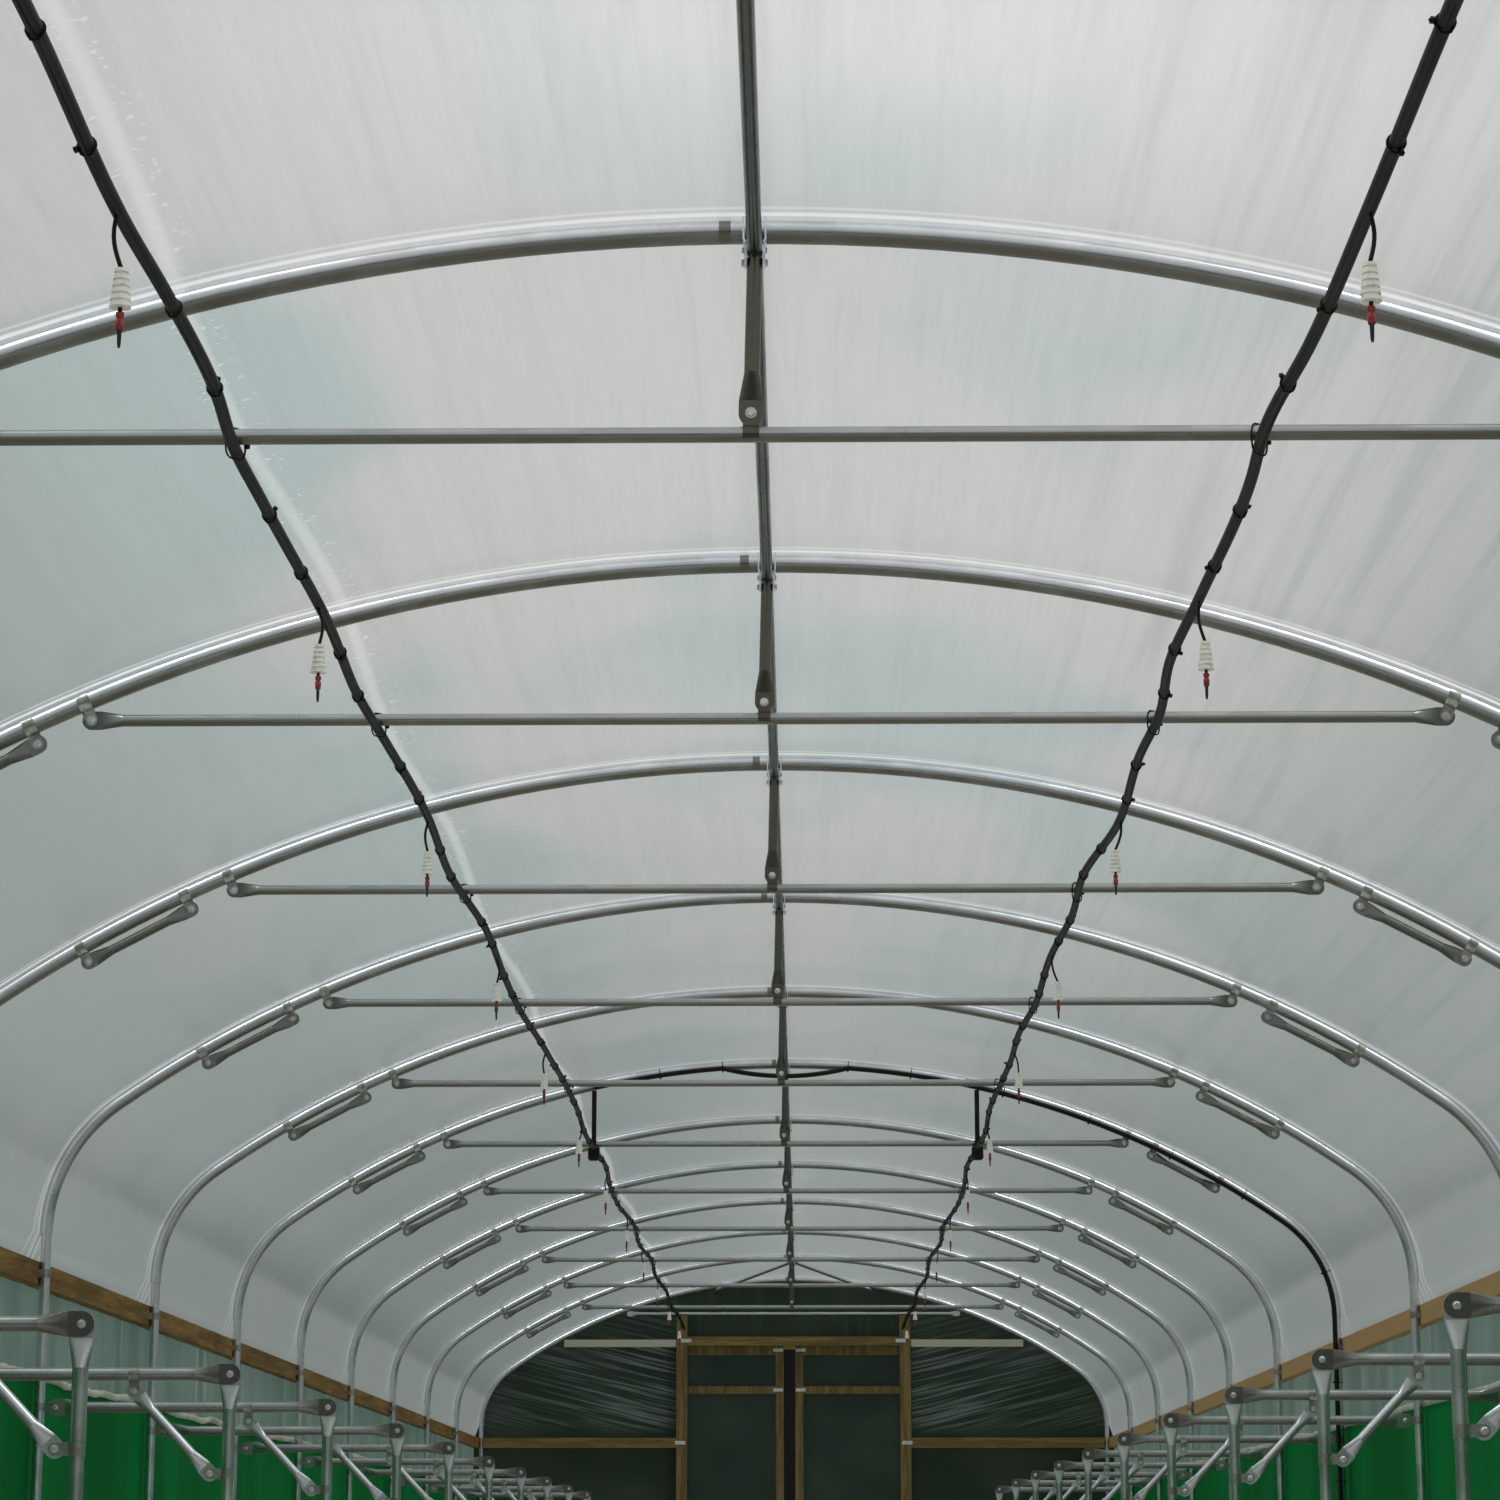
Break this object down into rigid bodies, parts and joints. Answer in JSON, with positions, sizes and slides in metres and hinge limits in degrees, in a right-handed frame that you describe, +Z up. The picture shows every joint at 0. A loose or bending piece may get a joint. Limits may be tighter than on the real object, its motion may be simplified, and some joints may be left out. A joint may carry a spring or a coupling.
{
  "type": "polytunnel greenhouse",
  "caption": "Polytunnel of steel tube hoops under polythene, with timber side rails, framed end walls, sliding doors, staging frames and overhead watering pipes.",
  "frame": {"origin": "middle of the tunnel's floor, at ground level", "axes": "+Z up; +Y along the tunnel to the far end wall, whose door leaves slide; +X across, to the right seen from the near end"},
  "size_m": [4.6912, 28.1652, 2.4523],
  "materials": {
    "galvanised": "galvanised tube, dull, brown on the underside",
    "bright_clips": "zinc plated pressings, brighter than the tube",
    "rail_timber": "rough sawn, treated, weathered",
    "frame_timber": "rough sawn, weathered grey",
    "roof_film": "diffusing polythene, translucent",
    "end_film": "grey green sheeting, wrinkled",
    "skirt_film": "pale green translucent sheeting, creased",
    "green_sheeting": "dark green sheeting",
    "pale_hem": "rolled beige hem",
    "black_pipe": "black polyethylene",
    "pale_plastic": "white moulded plastic",
    "red_plastic": "dark red moulded plastic"
  },
  "bodies": {
    "tunnel": {"crown_bows_left": "galvanised", "crown_bows_right": "galvanised", "shoulder_bows": "galvanised", "leg_tubes": "galvanised", "ridge_purlin": "galvanised", "ridge_clamps": "bright_clips", "rail_saddles": "bright_clips", "hoop_clips": "bright_clips", "crossbar_clips": "bright_clips", "crossbars": "galvanised", "king_posts": "galvanised", "splice_braces": "galvanised", "end_wall_tubes": "galvanised", "end_stays": "galvanised", "side_rails": "rail_timber", "cover_crown_left": "roof_film", "cover_crown_right": "roof_film", "cover_shoulder_left": "roof_film", "cover_shoulder_right": "roof_film", "skirt_left": "skirt_film", "skirt_right": "skirt_film", "green_sheet_left": "green_sheeting", "green_sheet_right": "green_sheeting", "sheet_hems": "pale_hem", "bench_posts": "galvanised", "bench_bars": "galvanised", "bench_braces": "galvanised", "bench_clips": "bright_clips", "door_posts": "frame_timber", "lintels": "frame_timber", "end_wall_rails": "frame_timber", "end_film_left": "end_film", "end_film_right": "end_film", "end_film_top": "end_film", "near_door_leaves": "frame_timber", "near_door_film": "end_film", "near_door_hangers": "bright_clips", "door_tracks": "galvanised", "pipe_left": "black_pipe", "pipe_right": "black_pipe", "drop_tubes": "black_pipe", "drop_weights": "pale_plastic", "drop_nozzles": "red_plastic", "feed_pipe": "black_pipe", "feed_risers": "black_pipe", "feed_valves": "black_pipe"},
    "left_leaf": {"door_leaf_left": "frame_timber", "door_film_left": "end_film", "door_hangers_left": "bright_clips"},
    "right_leaf": {"door_leaf_right": "frame_timber", "door_film_right": "end_film", "door_hangers_right": "bright_clips"}
  },
  "joints": [
    {"name": "left_leaf_slide", "type": "slide", "parent": "tunnel", "child": "left_leaf", "axis": [-1, 0, 0], "range_m": [-0.07, 0.7]},
    {"name": "right_leaf_slide", "type": "slide", "parent": "tunnel", "child": "right_leaf", "axis": [1, 0, 0], "range_m": [-0.009, 0.76]}
  ]
}
